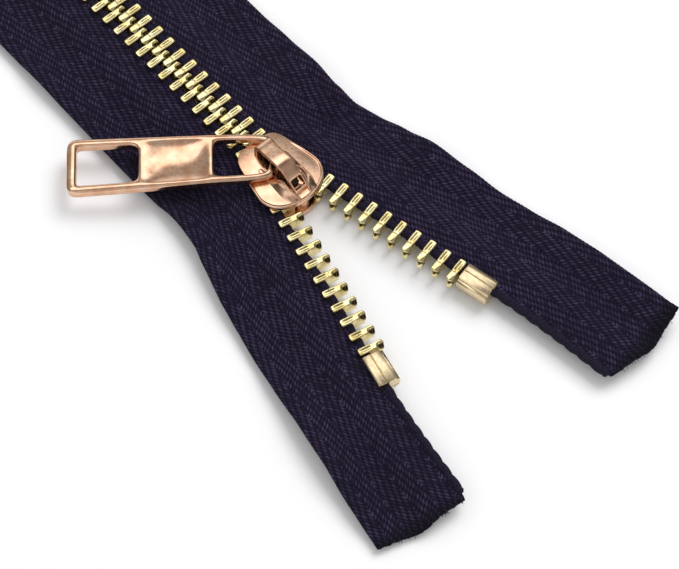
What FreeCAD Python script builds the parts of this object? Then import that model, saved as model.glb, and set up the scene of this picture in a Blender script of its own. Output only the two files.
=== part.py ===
"""Metal zipper with an automatic-lock slider, partly open, lying flat on a table.

Frame: origin on the table under the middle of the slider, +X along the chain towards
the top stops, +Z up. The stringer on the +Y side is called left, the other one right.
Each stringer is a meshed length, fixed, and an open arm that turns about a vertical
axis behind the slider. The arms are drawn open, as they lie when the slider is down.
"""
import FreeCAD, Part
import math
import os

V = FreeCAD.Vector
X_AXIS = V(1, 0, 0)
Y_AXIS = V(0, 1, 0)
Z_AXIS = V(0, 0, 1)
SIDES = {"left": 1, "right": -1}

# ---- chain ----
PITCH = 2.54              # tooth to tooth along one side
CHAIN_HALF = 2.85         # chain axis to the outer end of a tooth
CHAIN_Z = 2.25            # height of the chain's middle plane
TOOTH_HALF_HEIGHT = 1.15
TOOTH_WIDTH = 1.14
HEAD_WIDTH = 1.0
HEAD_REACH = 1.05         # how far a head passes the chain axis
NECK_Y = 0.95             # where the head meets the legs
LEG_SLOT = 0.8            # gap between the two legs, outside the cord
LEG_END_ROUND = 0.32
HEAD_END_ROUND = 0.42
TOOTH_EDGE_ROUND = 0.2
NIB_REACH = 0.28
NIB_SIZE = V(0.42, 0.42, 0.7)
NIB_CLEARANCE = 0.14

# ---- arms ----
PIVOT_X = -6.3
PIVOT_Y = 0.6
OPEN_ANGLE = 12.15        # degrees, each arm
CLOSED_TEETH = 21         # on each side
OPEN_TEETH = {"left": 14, "right": 15}
FIRST_OPEN_X = {"left": -4.42, "right": -5.69}   # where they sit when the chain is shut

# ---- tape ----
CORD_RADIUS = 0.6
CORD_Y = 1.78
CORD_CLEARANCE = 0.02     # round the cord, in a tooth or a stop
TAPE_INNER = CORD_Y + CORD_RADIUS
TAPE_OUTER = 15.9
TAPE_THICK = 0.6
TAPE_LEVEL_END = 6.2      # the tape is level with the chain out to here
TAPE_FLOOR_START = 10.8   # and lies on the table from here
TAPE_BOTTOM_X = -85.0
TAPE_TOP_X = 55.0         # along the arm, when shut
HINGE_GAP = 0.15          # each side of the mitre between tape and arm

# ---- stops ----
STOP_LENGTH = 5.0
STOP_HALF_HEIGHT = 1.3
STOP_GAP = 0.35
STOP_INNER = -0.45
STOP_OUTER = 2.9
STOP_ROUND = 0.3
BOTTOM_STOP_HALF = 2.95

# ---- slider ----
PLATE_THICK = 1.0
CHANNEL_TOP = 3.5
TOP_THICK = 0.85
PLATE_TOP = CHANNEL_TOP + TOP_THICK
PLATE_EDGE_ROUND = 0.5
BASE_EDGE_ROUND = 0.35
PLATE_HALF_OUTLINE = [(-6.05, 0), (-5.85, 2.5), (-4.9, 3.72), (-2.5, 4.42), (0.2, 5.1),
                      (2.4, 5.3), (4.4, 4.3), (5.6, 2.4), (6.05, 0)]
FLANGE_END_X = 1.3
FLANGE_SLOT = 0.84        # the tape passes through this
FLANGE_CLEARANCE = 0.14
DIAMOND_START = (0.7, 0.2)
DIAMOND_WIDE = (4.6, 1.0)
DIAMOND_NOSE_X = 5.55
DIAMOND_NOSE_HALF = 0.45
RAIL_START_X = 1.6
RAIL_END_X = 4.7
RAIL_INNER = 1.42
RAIL_WIDTH = 0.5
RAIL_HEIGHT = 0.75
LOCK_HOLE = (-3.95, -2.75, 0.62)   # from, to, half width

# ---- crown ----
CROWN_HALF = 1.15
CROWN_TOP = 7.3
CROWN_THICK = 0.7
CROWN_REAR_X = -4.3
CROWN_FRONT_X = 4.75
CROWN_SHOULDER_X = -3.2
CROWN_SLOPE_X = 1.2
CROWN_FOOT_SINK = 0.3
CROWN_FRONT_WALL = 0.4    # the front foot stands straight up this far above the plate
CROWN_BOW = (0.45, 0.55)  # how far the front slope bulges out from a straight line
CROWN_INNER_FRONT = 1.5   # the strap is this many times thicker along X at its front foot

# ---- lock leaf ----
LEAF_HALF = 0.55
LEAF_THICK = 0.28
LEAF_Z = 6.1
LEAF_HINGE_X = 3.15
LEAF_HINGE_Z = 4.85
LEAF_HINGE_RADIUS = 0.3
PIN_X = -3.35
PIN_TIP_Z = 3.55

# ---- pull tab ----
PULL_YAW = 50.5           # degrees from -X towards -Y
PULL_TILT = 4.0           # degrees down to its free end
BAR_X = -1.7
BAR_Y = 0.3
BAR_Z = 5.25
BAR_HALF = 0.55
BAR_EDGE_ROUND = 0.25
PULL_LENGTH = 29.4        # bar's middle to the free end
PULL_HALF_LOOP = 3.6
PULL_HALF_END = 4.35
PULL_THICK = 1.6
LOOP_THICK = 1.1
LOOP_WINDOW = (0.5, 8.6)
LOOP_SIDE = 0.75
END_WINDOW = (19.1, 28.0)
END_WINDOW_HALF = 3.15
DISH_DEPTH = 0.45
DISH_RADIUS = 6.0
DISH_MARGIN = 1.2         # from each window to the dish
LOOP_WINDOW_ROUND = 0.45
END_WINDOW_ROUND = 1.0
PULL_CORNER = 1.3


def box(low, high):
    size = V(*high) - V(*low)
    return Part.makeBox(size.x, size.y, size.z, V(*low))


def prism(points, z_low, z_high):
    wire = Part.makePolygon([V(x, y, z_low) for x, y in points + points[:1]])
    return Part.Face(wire).extrude(V(0, 0, z_high - z_low))


def fillet_where(shape, radius, wanted):
    edges = [edge for edge in shape.Edges if wanted(edge)]
    return shape.makeFillet(radius, edges)


def is_vertical(edge):
    low, high = edge.BoundBox.ZMin, edge.BoundBox.ZMax
    flat = edge.BoundBox.XLength < 1e-6 and edge.BoundBox.YLength < 1e-6
    return flat and high - low > 0.1


def at_height(z):
    return lambda edge: abs(edge.BoundBox.ZMin - z) < 1e-5 and abs(edge.BoundBox.ZMax - z) < 1e-5


def mirrored(shape, side):
    """A shape drawn for the +Y side, put on the side that is asked for."""
    return shape if side > 0 else shape.mirror(V(0, 0, 0), Y_AXIS)


def opened(shape, side):
    """A shape drawn for the shut chain, turned out with its arm."""
    turned = shape.copy()
    turned.rotate(V(PIVOT_X, side * PIVOT_Y, 0), Z_AXIS, side * OPEN_ANGLE)
    return turned


def save(name, solids):
    shape = solids[0] if len(solids) == 1 else Part.makeCompound(solids)
    for solid in shape.Solids:
        if not solid.isValid():
            raise ValueError(name + " has a solid that is not valid")
    shape.exportStep("parts/" + name + ".step")
    print(name, len(shape.Solids), "solids", round(shape.Volume, 2), "mm3")


# ---- teeth ----

def ellipsoid(centre, radii):
    ball = Part.makeSphere(1.0)
    scale = FreeCAD.Matrix()
    scale.scale(radii)
    ball = ball.transformGeometry(scale)
    ball.translate(centre)
    return ball


def tooth():
    """One clamped tooth on the +Y side, about the chain axis and the chain's middle plane."""
    h = TOOTH_HALF_HEIGHT
    legs = box((-TOOTH_WIDTH / 2, NECK_Y, -h), (TOOTH_WIDTH / 2, CHAIN_HALF, h))
    legs = fillet_where(legs, LEG_END_ROUND,
                        lambda e: is_vertical(e) and e.BoundBox.YMin > NECK_Y + 0.1)
    head = box((-HEAD_WIDTH / 2, -HEAD_REACH, -h), (HEAD_WIDTH / 2, NECK_Y + 0.2, h))
    head = fillet_where(head, HEAD_END_ROUND, lambda e: is_vertical(e) and e.BoundBox.YMax < 0)
    body = legs.fuse(head).removeSplitter()
    body = fillet_where(body, TOOTH_EDGE_ROUND, lambda e: at_height(h)(e) or at_height(-h)(e))
    nib_x = HEAD_WIDTH / 2 + NIB_REACH - NIB_SIZE.x
    body = body.fuse(ellipsoid(V(nib_x, 0, 0), NIB_SIZE))
    grown = NIB_SIZE + V(NIB_CLEARANCE, NIB_CLEARANCE, NIB_CLEARANCE)
    recess_x = nib_x - PITCH / 2
    body = body.cut(ellipsoid(V(recess_x, 0, 0), grown))
    cord = Part.makeCylinder(CORD_RADIUS + CORD_CLEARANCE, 2, V(-1, CORD_Y, 0), X_AXIS)
    slot = box((-1, CORD_Y, -LEG_SLOT / 2), (1, CHAIN_HALF + 0.5, LEG_SLOT / 2))
    return body.cut(cord).cut(slot)


def tooth_row(one, side, first_x, count, step):
    row = []
    for index in range(count):
        copy = mirrored(one.copy(), side)
        copy.translate(V(first_x + index * step, 0, CHAIN_Z))
        row.append(copy)
    return row


# ---- tape, drawn on the +Y side ----

def tape_section(x):
    """The tape across its width: level beside the chain, then down to the table."""
    bottom = [(TAPE_INNER, CHAIN_Z - TAPE_THICK / 2), (TAPE_LEVEL_END, CHAIN_Z - TAPE_THICK / 2),
              (TAPE_FLOOR_START, 0), (TAPE_OUTER, 0)]
    top = [(y, z + TAPE_THICK) for y, z in reversed(bottom)]
    return Part.makePolygon([V(x, y, z) for y, z in bottom + top + bottom[:1]])


def tape_length(x_from, x_to):
    return Part.Face(tape_section(x_from)).extrude(V(x_to - x_from, 0, 0))


def mitre(keeps_negative):
    """Half space on one side of the line that a tape and its arm share when open."""
    lean = math.radians(OPEN_ANGLE / 2)
    lean = lean if keeps_negative else -lean
    gap = -HINGE_GAP if keeps_negative else HINGE_GAP
    reach = 40
    end_x = PIVOT_X + gap - math.tan(lean) * reach
    far_x = PIVOT_X - 200 if keeps_negative else PIVOT_X + 200
    start = (PIVOT_X + gap, PIVOT_Y)
    return prism([start, (end_x, PIVOT_Y + reach), (far_x, PIVOT_Y + reach), (far_x, PIVOT_Y)], -5, 10)


def closed_tape():
    return tape_length(TAPE_BOTTOM_X, PIVOT_X + 5).common(mitre(True))


def open_tape():
    return tape_length(PIVOT_X - 5, TAPE_TOP_X).common(mitre(False))


def cord(x_from, x_to):
    return Part.makeCylinder(CORD_RADIUS, x_to - x_from, V(x_from, CORD_Y, CHAIN_Z), X_AXIS)


# ---- stops ----

def top_stop(x_start):
    """A clamp round the cord, drawn on the +Y side for the shut chain."""
    low = (x_start, STOP_INNER, CHAIN_Z - STOP_HALF_HEIGHT)
    high = (x_start + STOP_LENGTH, STOP_OUTER, CHAIN_Z + STOP_HALF_HEIGHT)
    block = box(low, high)
    block = fillet_where(block, STOP_ROUND, lambda e: e.BoundBox.XLength > 1)
    return hollow_for_cord(block, x_start)


def hollow_for_cord(block, x_start):
    x_from = x_start - 1
    length = STOP_LENGTH + 2
    hole = Part.makeCylinder(CORD_RADIUS + CORD_CLEARANCE, length, V(x_from, CORD_Y, CHAIN_Z), X_AXIS)
    half = TAPE_THICK / 2 + CORD_CLEARANCE
    slot = box((x_from, CORD_Y, CHAIN_Z - half), (x_from + length, CHAIN_HALF + 1, CHAIN_Z + half))
    return block.cut(hole).cut(slot)


def bottom_stop(x_start):
    low = (x_start, -BOTTOM_STOP_HALF, CHAIN_Z - STOP_HALF_HEIGHT)
    high = (x_start + STOP_LENGTH, BOTTOM_STOP_HALF, CHAIN_Z + STOP_HALF_HEIGHT)
    block = box(low, high)
    block = fillet_where(block, STOP_ROUND, lambda e: e.BoundBox.XLength > 1)
    block = hollow_for_cord(block, x_start)
    return hollow_for_cord(block.mirror(V(0, 0, 0), Y_AXIS), x_start)


# ---- slider ----

def plate(z_low, z_high):
    """The slider's leaf-shaped outline, extruded."""
    back = [(x, -y) for x, y in reversed(PLATE_HALF_OUTLINE[1:-1])]
    curve = Part.BSplineCurve()
    curve.interpolate(Points=[V(x, y, z_low) for x, y in PLATE_HALF_OUTLINE + back], PeriodicFlag=True)
    return Part.Face(Part.Wire(curve.toShape())).extrude(V(0, 0, z_high - z_low))


def channel_half_width(x):
    """Half the room that the open teeth need inside the slider."""
    angle = math.radians(OPEN_ANGLE)
    reach = CHAIN_HALF - PIVOT_Y
    start_x = PIVOT_X - reach * math.sin(angle)
    start_y = PIVOT_Y + reach * math.cos(angle)
    return start_y + (x - start_x) * math.tan(angle) + FLANGE_CLEARANCE


def flange(z_low, z_high):
    rear, front = -7, FLANGE_END_X + 1
    half = [(rear, channel_half_width(rear)), (front, channel_half_width(front))]
    channel = prism(half + [(x, -y) for x, y in reversed(half)], z_low - 1, z_high + 1)
    ahead = box((FLANGE_END_X, -8, z_low - 1), (8, 8, z_high + 1))
    return plate(z_low, z_high).cut(channel).cut(ahead)


def diamond():
    """The post that parts the two rows of teeth."""
    x_start, y_start = DIAMOND_START
    x_wide, y_wide = DIAMOND_WIDE
    half = [(x_start, y_start), (x_wide, y_wide), (DIAMOND_NOSE_X, DIAMOND_NOSE_HALF)]
    return prism(half + [(x, -y) for x, y in reversed(half)], PLATE_THICK, CHANNEL_TOP)


def rail(side):
    """A low wall beside the crown, rising out of the top plate towards the front."""
    y_low = RAIL_INNER if side > 0 else -RAIL_INNER - RAIL_WIDTH
    x_mid = (RAIL_START_X + RAIL_END_X) / 2
    top = PLATE_TOP + RAIL_HEIGHT
    outline = [V(RAIL_START_X, y_low, PLATE_TOP - 0.3), V(RAIL_END_X, y_low, PLATE_TOP - 0.3),
               V(RAIL_END_X, y_low, PLATE_TOP + 0.1), V(x_mid, y_low, top),
               V(RAIL_START_X + 0.5, y_low, top), V(RAIL_START_X, y_low, PLATE_TOP + 0.2)]
    wall = Part.Face(Part.makePolygon(outline + outline[:1]))
    return wall.extrude(V(0, RAIL_WIDTH, 0))


def slider_body():
    base = fillet_where(plate(0, PLATE_THICK), BASE_EDGE_ROUND, at_height(0))
    lid = fillet_where(plate(CHANNEL_TOP, PLATE_TOP), PLATE_EDGE_ROUND, at_height(PLATE_TOP))
    slot_low = CHAIN_Z - FLANGE_SLOT / 2
    slot_high = CHAIN_Z + FLANGE_SLOT / 2
    body = base.fuse([lid, flange(PLATE_THICK, slot_low), flange(slot_high, CHANNEL_TOP), diamond(),
                      rail(1), rail(-1)])
    x_from, x_to, half = LOCK_HOLE
    body = body.cut(box((x_from, -half, CHANNEL_TOP - 0.5), (x_to, half, PLATE_TOP + 0.5)))
    return body.cut(crown_feet()).removeSplitter()


# ---- crown ----

def crown_profile(inset, sink):
    """Side view of the crown, one arched strip, moved in by inset."""
    rear, front = CROWN_REAR_X + inset, CROWN_FRONT_X - inset * CROWN_INNER_FRONT
    top = CROWN_TOP - inset
    foot = PLATE_TOP - sink
    round_x = CROWN_SHOULDER_X
    centre_z = top - (round_x - rear)
    middle = V(round_x - (round_x - rear) * math.sqrt(0.5), 0,
               centre_z + (round_x - rear) * math.sqrt(0.5))
    slope_end = V(front, 0, PLATE_TOP + CROWN_FRONT_WALL)
    bow_x, bow_z = CROWN_BOW
    bow = V((CROWN_SLOPE_X + front) / 2 + bow_x, 0, (top + slope_end.z) / 2 + bow_z)
    edges = [Part.LineSegment(V(rear, 0, foot), V(rear, 0, centre_z)),
             Part.Arc(V(rear, 0, centre_z), middle, V(round_x, 0, top)),
             Part.LineSegment(V(round_x, 0, top), V(CROWN_SLOPE_X, 0, top)),
             Part.Arc(V(CROWN_SLOPE_X, 0, top), bow, slope_end),
             Part.LineSegment(slope_end, V(front, 0, foot)),
             Part.LineSegment(V(front, 0, foot), V(rear, 0, foot))]
    return Part.Face(Part.Wire([edge.toShape() for edge in edges]))


def crown():
    outer = crown_profile(0, CROWN_FOOT_SINK)
    inner = crown_profile(CROWN_THICK, CROWN_FOOT_SINK + 1)
    strip = outer.cut(inner)
    solid = strip.extrude(V(0, 2 * CROWN_HALF, 0))
    solid.translate(V(0, -CROWN_HALF, 0))
    return solid.Solids[0]


def crown_feet():
    """The two seats that the crown's feet fill in the top plate."""
    return crown().common(box((-8, -8, 0), (8, 8, PLATE_TOP)))


# ---- lock leaf ----

def lock_leaf():
    """A springy strip: rolled about its hinge at the front, over the pull's bar, and a pin
    down through the top plate at the rear."""
    z_top = LEAF_Z + LEAF_THICK / 2
    z_low = LEAF_Z - LEAF_THICK / 2
    knee = LEAF_HINGE_X - 0.9
    outline = [(LEAF_HINGE_X - 0.05, LEAF_HINGE_Z), (knee, z_low), (PIN_X + LEAF_THICK, z_low),
               (PIN_X + LEAF_THICK, PIN_TIP_Z), (PIN_X, PIN_TIP_Z), (PIN_X, z_top),
               (knee + 0.15, z_top), (LEAF_HINGE_X + 0.22, LEAF_HINGE_Z)]
    points = [V(x, -LEAF_HALF, z) for x, z in outline]
    strip = Part.Face(Part.makePolygon(points + points[:1])).extrude(V(0, 2 * LEAF_HALF, 0))
    roll = Part.makeCylinder(LEAF_HINGE_RADIUS, 2 * LEAF_HALF,
                             V(LEAF_HINGE_X, -LEAF_HALF, LEAF_HINGE_Z), Y_AXIS)
    return strip.fuse(roll).removeSplitter()


# ---- pull tab, drawn along +X from its bar, with its thickness along Z ----

def half_width(u):
    return PULL_HALF_LOOP + (PULL_HALF_END - PULL_HALF_LOOP) * u / PULL_LENGTH


def window(u_from, u_to, half, corner):
    outline = [(u_from, -half), (u_to, -half), (u_to, half), (u_from, half)]
    return fillet_where(prism(outline, -3, 3), corner, is_vertical)


def is_bar_edge(edge):
    size = edge.BoundBox
    straight_across = size.YLength > 3 and size.XLength < 1e-5 and size.ZLength < 1e-5
    return straight_across and size.XMax < LOOP_WINDOW[0] + 0.01


def pull_tab():
    u_start = -BAR_HALF
    outline = [(u_start, -half_width(0)), (PULL_LENGTH, -PULL_HALF_END),
               (PULL_LENGTH, PULL_HALF_END), (u_start, half_width(0))]
    plate_half = PULL_THICK / 2
    tab = fillet_where(prism(outline, -plate_half, plate_half), PULL_CORNER, is_vertical)
    loop_half = LOOP_THICK / 2
    thin_end = LOOP_WINDOW[1] + 1.0
    for sign in (1, -1):
        wedge = [V(u_start - 1, -5, sign * loop_half), V(LOOP_WINDOW[1] - 1, -5, sign * loop_half),
                 V(thin_end, -5, sign * plate_half), V(thin_end, -5, sign * 2), V(u_start - 1, -5, sign * 2)]
        tab = tab.cut(Part.Face(Part.makePolygon(wedge + wedge[:1])).extrude(V(0, 10, 0)))
    dish_from, dish_to = LOOP_WINDOW[1] + DISH_MARGIN, END_WINDOW[0] - DISH_MARGIN
    for sign in (1, -1):
        centre_z = sign * (plate_half + DISH_RADIUS - DISH_DEPTH)
        dish = Part.makeCylinder(DISH_RADIUS, dish_to - dish_from, V(dish_from, 0, centre_z), X_AXIS)
        tab = tab.cut(dish)
    tab = tab.cut(window(*LOOP_WINDOW, half_width(0) - LOOP_SIDE, LOOP_WINDOW_ROUND))
    tab = tab.cut(window(*END_WINDOW, END_WINDOW_HALF, END_WINDOW_ROUND))
    tab = fillet_where(tab, BAR_EDGE_ROUND, is_bar_edge)
    tab.rotate(V(0, 0, 0), Y_AXIS, PULL_TILT)
    tab.rotate(V(0, 0, 0), Z_AXIS, 180 + PULL_YAW)
    tab.translate(V(BAR_X, BAR_Y, BAR_Z))
    return tab


# ---- the whole zipper ----

def build():
    os.makedirs("parts", exist_ok=True)
    one_tooth = tooth()
    for name, side in SIDES.items():
        first = FIRST_OPEN_X[name]
        count = OPEN_TEETH[name]
        save(name + "_teeth_closed", tooth_row(one_tooth, side, first - PITCH, CLOSED_TEETH, -PITCH))
        open_row = tooth_row(one_tooth, side, first, count, PITCH)
        save(name + "_teeth_open", [opened(solid, side) for solid in open_row])

        stop_x = first + (count - 1) * PITCH + TOOTH_WIDTH / 2 + STOP_GAP
        save(name + "_top_stop", [opened(mirrored(top_stop(stop_x), side), side)])
        save(name + "_tape_closed", [mirrored(closed_tape(), side)])
        save(name + "_tape_open", [opened(mirrored(open_tape(), side), side)])
        save(name + "_cord_closed", [mirrored(cord(TAPE_BOTTOM_X, PIVOT_X - HINGE_GAP), side)])
        cord_start = PIVOT_X + HINGE_GAP + CORD_RADIUS * math.radians(OPEN_ANGLE)
        save(name + "_cord_open", [opened(mirrored(cord(cord_start, TAPE_TOP_X), side), side)])

    last_closed_x = min(FIRST_OPEN_X.values()) - CLOSED_TEETH * PITCH
    stop_x = last_closed_x - TOOTH_WIDTH / 2 - STOP_GAP - STOP_LENGTH
    save("bottom_stop", [bottom_stop(stop_x)])
    save("slider_body", [slider_body()])
    save("slider_crown", [crown()])
    save("lock_leaf", [lock_leaf()])
    save("pull_tab", [pull_tab()])


build()
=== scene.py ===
"""Looks of the zipper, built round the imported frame: woven tapes, brass teeth, rose gold slider.

Lengths in this file are millimetres in the frame's own axes, and MM turns them into metres.
The stringer on the +Y side is called left. A point "along, across" is where it lies on a
stringer when the chain is shut: along is x, across is the distance from the chain axis.
"""
import math
import random

import bmesh
import bpy
import numpy as np
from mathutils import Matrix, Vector


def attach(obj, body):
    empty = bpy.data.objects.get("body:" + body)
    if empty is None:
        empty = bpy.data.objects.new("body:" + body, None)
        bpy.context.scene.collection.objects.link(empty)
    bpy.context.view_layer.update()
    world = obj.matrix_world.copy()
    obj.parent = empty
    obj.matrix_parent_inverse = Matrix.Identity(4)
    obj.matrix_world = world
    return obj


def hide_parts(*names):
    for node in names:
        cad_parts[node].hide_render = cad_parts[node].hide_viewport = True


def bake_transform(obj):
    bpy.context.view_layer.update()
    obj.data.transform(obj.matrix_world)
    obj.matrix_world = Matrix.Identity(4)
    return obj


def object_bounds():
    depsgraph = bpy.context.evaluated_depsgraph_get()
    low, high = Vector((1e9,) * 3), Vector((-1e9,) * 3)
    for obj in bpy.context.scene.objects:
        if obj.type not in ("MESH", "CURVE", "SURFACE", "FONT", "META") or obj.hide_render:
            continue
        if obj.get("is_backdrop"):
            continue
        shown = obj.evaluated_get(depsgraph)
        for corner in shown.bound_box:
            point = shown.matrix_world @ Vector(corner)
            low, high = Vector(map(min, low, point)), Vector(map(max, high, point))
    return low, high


MM = 0.001
SIDES = {"left": 1, "right": -1}

# ---- sizes shared with the CAD source ----
PITCH = 2.54
CHAIN_Z = 2.25
TOOTH_WIDTH = 1.14
CLOSED_TEETH = 21
OPEN_TEETH = {"left": 14, "right": 15}
FIRST_OPEN_X = {"left": -4.42, "right": -5.69}
PIVOT_X = -6.3
PIVOT_Y = 0.6
OPEN_ANGLE = math.radians(12.15)
BEND_FROM_X = -12.5         # the stringers bend out between these two
BEND_TO_X = 3.5
STOPS_END = 36.5            # past this the open tapes curve back in
CURVE_BACK = 1.2
TAPE_ALONG = (-85.0, 55.0)
TAPE_ACROSS = (1.9, 15.9)
TAPE_HALF_THICK = 0.28
CUT_SHORT = 1.1             # by how much the cut at the bottom is short, as the one at the top bulges
CORD_RADIUS = 0.6
CORD_ACROSS = 1.78
STOP_GAP = 0.35
STOP_LENGTH = 5.0
PLATE_TOP = 4.35

# ---- weave ----
YARN_WIDTH = 0.4
COLUMN_WIDTH = 2.8          # of one column of the herringbone
COLUMN_SLANT = 0.5          # of its yarns, across over along
FLOAT_PITCH = 1.15          # from dash to dash along a yarn
FLOAT_SHIFT = 0.52          # from one yarn's dashes to the next one's
SCALLOP_PITCH = 2.3         # of the bead cord's winding

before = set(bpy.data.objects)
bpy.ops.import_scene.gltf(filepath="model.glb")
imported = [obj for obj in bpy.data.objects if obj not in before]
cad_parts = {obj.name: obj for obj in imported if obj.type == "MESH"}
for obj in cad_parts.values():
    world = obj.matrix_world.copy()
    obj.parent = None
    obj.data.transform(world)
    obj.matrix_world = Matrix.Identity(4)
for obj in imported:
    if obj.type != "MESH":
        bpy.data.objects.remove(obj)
cad_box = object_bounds()


# ---- meshes ----

def add_object(name, points, faces, material, body=None, smooth_angle=None, levels=0):
    mesh = bpy.data.meshes.new(name)
    mesh.from_pydata([tuple(float(c) * MM for c in point) for point in points], [], faces)
    shape = bmesh.new()
    shape.from_mesh(mesh)
    bmesh.ops.recalc_face_normals(shape, faces=shape.faces)
    shape.to_mesh(mesh)
    shape.free()
    mesh.polygons.foreach_set("use_smooth", [True] * len(mesh.polygons))
    if smooth_angle:
        mesh.set_sharp_from_angle(angle=math.radians(smooth_angle))
    mesh.materials.append(material)
    obj = bpy.data.objects.new(name, mesh)
    bpy.context.scene.collection.objects.link(obj)
    if levels:
        subdivide = obj.modifiers.new("subdivide", "SUBSURF")
        subdivide.levels = levels
        subdivide.render_levels = levels
    if body:
        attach(obj, body)
    return obj


def merged(parts):
    points, faces = [], []
    for part_points, part_faces in parts:
        start = len(points)
        points.extend(part_points)
        faces.extend([[start + index for index in face] for face in part_faces])
    return points, faces


def loft(sections):
    """A closed form through closed sections that all have the same number of points."""
    size = len(sections[0])
    points = [point for section in sections for point in section]
    faces = []
    for row in range(len(sections) - 1):
        for k in range(size):
            a, b = row * size + k, row * size + (k + 1) % size
            faces.append([a, b, b + size, a + size])
    for section, reverse in ((0, True), (len(sections) - 1, False)):
        middle = np.mean(np.array(sections[section], float), axis=0)
        points.append(tuple(middle))
        first, tip = section * size, len(points) - 1
        for k in range(size):
            fan = [first + k, first + (k + 1) % size, tip]
            faces.append(fan[::-1] if reverse else fan)
    return points, faces


def plate_cage(us, lines_at, half_at, holes, place, layers=(1, 0.45, -0.45, -1)):
    """A closed plate over a grid of lines, with the cells of its windows left out."""
    columns = len(lines_at(us[0])) - 1
    solid = {(i, j) for i in range(len(us) - 1) for j in range(columns)} - holes
    numbers, points, faces = {}, [], []

    def vertex(i, j, layer):
        if (i, j, layer) not in numbers:
            u = us[i]
            v = lines_at(u)[j]
            numbers[i, j, layer] = len(points)
            points.append(place(u, v, layer * half_at(u, v)))
        return numbers[i, j, layer]

    for i, j in sorted(solid):
        corners = ((i, j), (i + 1, j), (i + 1, j + 1), (i, j + 1))
        faces.append([vertex(a, b, layers[0]) for a, b in corners])
        faces.append([vertex(a, b, layers[-1]) for a, b in reversed(corners)])
        for k, (di, dj) in enumerate(((0, -1), (1, 0), (0, 1), (-1, 0))):
            if (i + di, j + dj) in solid:
                continue
            start, end = corners[k], corners[(k + 1) % 4]
            for high, low in zip(layers, layers[1:]):
                faces.append([vertex(*start, high), vertex(*start, low),
                              vertex(*end, low), vertex(*end, high)])
    return points, faces


def lattice_block(xs, ys, zs, move):
    """The skin of a box cut into cells, with every corner put where move says."""
    numbers, points, faces = {}, [], []
    last = (len(xs) - 1, len(ys) - 1, len(zs) - 1)

    def vertex(cell):
        if cell not in numbers:
            numbers[cell] = len(points)
            points.append(move(xs[cell[0]], ys[cell[1]], zs[cell[2]]))
        return numbers[cell]

    for axis in range(3):
        one, two = [other for other in range(3) if other != axis]
        for end in (0, last[axis]):
            for a in range(last[one]):
                for b in range(last[two]):
                    ring = []
                    for da, db in ((0, 0), (1, 0), (1, 1), (0, 1)):
                        cell = [0, 0, 0]
                        cell[axis], cell[one], cell[two] = end, a + da, b + db
                        ring.append(vertex(tuple(cell)))
                    faces.append(ring)
    return points, faces


def curve_through(points, count, closed):
    """Points on a smooth curve through the given ones, evenly spread over its spans."""
    points = [np.array(point, float) for point in points]
    spans = len(points) if closed else len(points) - 1
    made = []
    for step in range(count):
        place = step * spans / (count if closed else count - 1)
        span = min(int(place), spans - 1)
        t = place - span
        near = []
        for offset in (-1, 0, 1, 2):
            index = span + offset
            near.append(points[index % len(points)] if closed
                        else points[min(max(index, 0), len(points) - 1)])
        a, b, c, d = near
        made.append(0.5 * (2 * b + (c - a) * t + (2 * a - 5 * b + 4 * c - d) * t ** 2
                           + (3 * b - a - 3 * c + d) * t ** 3))
    return made


def smoothstep(t):
    t = np.clip(t, 0, 1)
    return t * t * (3 - 2 * t)


# ---- the two stringers: from the shut chain to how they lie ----

def on_arm(point, side):
    """A point of the shut chain, turned out rigidly with its arm."""
    x, y, z = point
    turn = side * OPEN_ANGLE
    dx, dy = x - PIVOT_X, y - side * PIVOT_Y
    return (PIVOT_X + dx * math.cos(turn) - dy * math.sin(turn),
            side * PIVOT_Y + dx * math.sin(turn) + dy * math.cos(turn), z)


def laid_open(x, y, side):
    """Arrays of points of the shut chain, bent out smoothly where the slider is."""
    dx, dy = x - PIVOT_X, y - side * PIVOT_Y
    open_x = x.copy()
    for _ in range(30):
        share = smoothstep((open_x - BEND_FROM_X) / (BEND_TO_X - BEND_FROM_X))
        turn = side * OPEN_ANGLE * share
        open_x = 0.5 * open_x + 0.5 * (PIVOT_X + dx * np.cos(turn) - dy * np.sin(turn))
    open_y = side * PIVOT_Y + dx * np.sin(turn) + dy * np.cos(turn)
    past_stop = np.clip((x - STOPS_END) / (TAPE_ALONG[1] - STOPS_END), 0, 1)
    return open_x, open_y - side * CURVE_BACK * past_stop ** 1.5


def bend_with_arm(obj, name):
    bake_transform(obj)


# ---- materials ----

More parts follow.
